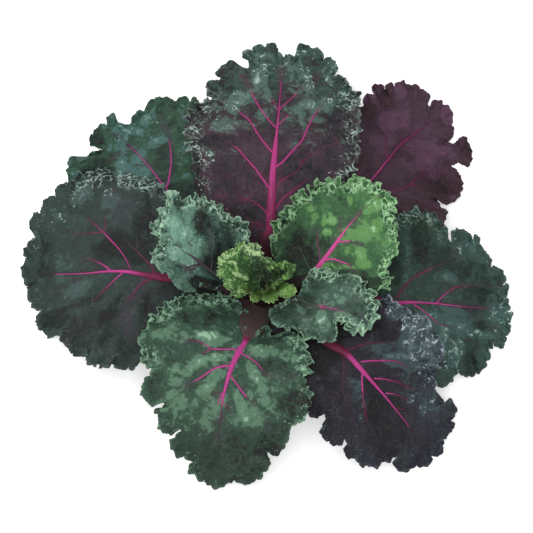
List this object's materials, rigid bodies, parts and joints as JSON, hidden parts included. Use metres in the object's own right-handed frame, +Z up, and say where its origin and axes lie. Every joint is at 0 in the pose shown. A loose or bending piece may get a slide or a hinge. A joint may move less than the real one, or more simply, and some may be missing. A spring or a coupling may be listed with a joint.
{
  "type": "purple kale bunch",
  "caption": "Open head of curly purple kale: broad outer leaves with frilled lobed margins and magenta ribs arch down from a short cut stem round pale heart leaves.",
  "frame": {"origin": "centre of the head's footprint, on the surface that the cut stem end and the outer leaf tips rest on", "axes": "+Z up along the stem, +X along the widest way across the head, +Y towards the tallest-standing outer leaf's tip"},
  "size_m": [0.364, 0.3292, 0.1033],
  "materials": {
    "leaf_upper_left_tissue": "waxy satin",
    "leaf_upper_right_tissue": "waxy satin",
    "leaf_left_tissue": "waxy satin",
    "leaf_right_tissue": "waxy satin",
    "leaf_top_tissue": "waxy satin",
    "leaf_lower_right_tissue": "waxy satin",
    "leaf_lower_tissue": "waxy satin",
    "inner_leaf_left_tissue": "waxy satin",
    "inner_leaf_right_tissue": "waxy satin",
    "inner_leaf_lower_right_tissue": "waxy satin",
    "heart_leaf_left_tissue": "waxy satin",
    "heart_leaf_back_tissue": "waxy satin",
    "heart_leaf_right_tissue": "waxy satin",
    "heart_leaf_front_tissue": "waxy satin",
    "growing_tip_tissue": "waxy satin",
    "stem_tissue": "matt"
  },
  "bodies": {
    "root": {"leaf_upper_left": "leaf_upper_left_tissue", "leaf_upper_right": "leaf_upper_right_tissue", "leaf_left": "leaf_left_tissue", "leaf_right": "leaf_right_tissue", "leaf_top": "leaf_top_tissue", "leaf_lower_right": "leaf_lower_right_tissue", "leaf_lower": "leaf_lower_tissue", "inner_leaf_left": "inner_leaf_left_tissue", "inner_leaf_right": "inner_leaf_right_tissue", "inner_leaf_lower_right": "inner_leaf_lower_right_tissue", "heart_leaf_left": "heart_leaf_left_tissue", "heart_leaf_back": "heart_leaf_back_tissue", "heart_leaf_right": "heart_leaf_right_tissue", "heart_leaf_front": "heart_leaf_front_tissue", "growing_tip": "growing_tip_tissue", "stem": "stem_tissue"}
  },
  "joints": []
}
